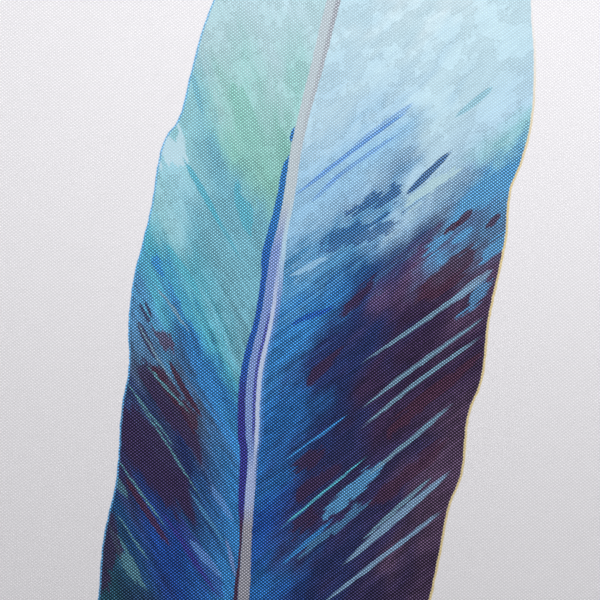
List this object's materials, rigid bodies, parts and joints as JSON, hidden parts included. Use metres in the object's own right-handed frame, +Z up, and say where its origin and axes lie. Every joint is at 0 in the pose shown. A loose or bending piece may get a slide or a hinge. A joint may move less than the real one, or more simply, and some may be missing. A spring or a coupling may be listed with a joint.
{
  "type": "feather flag with pole",
  "caption": "Tabletop feather flag: sail-shaped woven cloth printed with a watercolour feather, sleeved on a bent sectional pole that turns on a folding cross base.",
  "frame": {"origin": "on the surface that the feet stand on, under the axis of the pole", "axes": "+Z up along the straight part of the pole, +X from the pole towards the sail's free edge, -Y out of the sail's front face"},
  "size_m": [0.372, 0.372, 0.6663],
  "materials": {
    "printed_cloth": "white plain-woven polyester with a printed feather",
    "pocket_webbing": "heavier white woven reinforcement",
    "powder_coat": "fine-textured black powder coat",
    "zinc_steel": "bright zinc-plated steel",
    "aluminium": "drawn and satin-anodised tube",
    "fibreglass": "black pultruded fibreglass",
    "black_plastic": "moulded black nylon",
    "acetal": "natural acetal",
    "rubber": "soft black rubber",
    "nickel_grommet": "nickel-plated brass",
    "elastic_cord": "black braided elastic"
  },
  "bodies": {
    "base": {"hub_bottom_plate": "powder_coat", "hub_top_plate": "powder_coat", "leg_pivot_bolt_1": "zinc_steel", "leg_pivot_bolt_2": "zinc_steel", "leg_pivot_bolt_3": "zinc_steel", "leg_pivot_bolt_4": "zinc_steel", "leg_pivot_nut_1": "zinc_steel", "leg_pivot_nut_2": "zinc_steel", "leg_pivot_nut_3": "zinc_steel", "leg_pivot_nut_4": "zinc_steel", "leg_stop_1": "zinc_steel", "leg_stop_2": "zinc_steel", "leg_stop_3": "zinc_steel", "leg_stop_4": "zinc_steel", "spindle_housing": "powder_coat", "housing_screw_1": "zinc_steel", "housing_screw_2": "zinc_steel", "housing_screw_3": "zinc_steel", "housing_screw_4": "zinc_steel", "upper_bush": "acetal", "lower_bush": "acetal"},
    "leg_1": {"leg_tube_1": "powder_coat", "leg_end_cap_1": "black_plastic", "leg_foot_1": "rubber", "foot_screw_1": "zinc_steel"},
    "leg_2": {"leg_tube_2": "powder_coat", "leg_end_cap_2": "black_plastic", "leg_foot_2": "rubber", "foot_screw_2": "zinc_steel"},
    "leg_3": {"leg_tube_3": "powder_coat", "leg_end_cap_3": "black_plastic", "leg_foot_3": "rubber", "foot_screw_3": "zinc_steel"},
    "leg_4": {"leg_tube_4": "powder_coat", "leg_end_cap_4": "black_plastic", "leg_foot_4": "rubber", "foot_screw_4": "zinc_steel"},
    "rotor": {"spindle": "zinc_steel", "spindle_circlip": "zinc_steel"},
    "mast": {"pole_lower": "aluminium", "middle_collar": "black_plastic", "pole_middle": "fibreglass", "tip_collar": "black_plastic", "pole_tip": "fibreglass", "tip_cap": "rubber", "pole_sleeve": "printed_cloth", "tip_pocket": "pocket_webbing", "sail": "printed_cloth", "grommet": "nickel_grommet", "tension_cord": "elastic_cord"},
    "tensioner": {"tension_clamp": "black_plastic", "tension_hook": "zinc_steel"},
    "clamp_screw": {"thumb_screw": "zinc_steel"}
  },
  "joints": [
    {"name": "leg_1_fold", "type": "hinge", "parent": "base", "child": "leg_1", "pos_m": [0.022, 0, 0.0113], "axis": [0, 0, 1], "range_deg": [0, 45]},
    {"name": "leg_2_fold", "type": "hinge", "parent": "base", "child": "leg_2", "pos_m": [0, 0.022, 0.0113], "axis": [0, 0, 1], "range_deg": [-45, 0]},
    {"name": "leg_3_fold", "type": "hinge", "parent": "base", "child": "leg_3", "pos_m": [-0.022, 0, 0.0113], "axis": [0, 0, 1], "range_deg": [0, 45]},
    {"name": "leg_4_fold", "type": "hinge", "parent": "base", "child": "leg_4", "pos_m": [0, -0.022, 0.0113], "axis": [0, 0, 1], "range_deg": [-45, 0]},
    {"name": "spindle_spin", "type": "hinge", "parent": "base", "child": "rotor", "pos_m": [0, 0, 0.05], "axis": [0, 0, 1], "continuous": true},
    {"name": "mast_lift", "type": "slide", "parent": "rotor", "child": "mast", "axis": [0, 0, 1], "range_m": [0, 0.09]},
    {"name": "tensioner_slide", "type": "slide", "parent": "mast", "child": "tensioner", "axis": [0, 0, 1], "range_m": [-0.015, 0.008], "deforming": ["tension_cord"]},
    {"name": "clamp_screw_turn", "type": "hinge", "parent": "tensioner", "child": "clamp_screw", "pos_m": [-0.0148, 0, 0.166], "axis": [-1, 0, 0], "range_deg": [0, 360]}
  ]
}
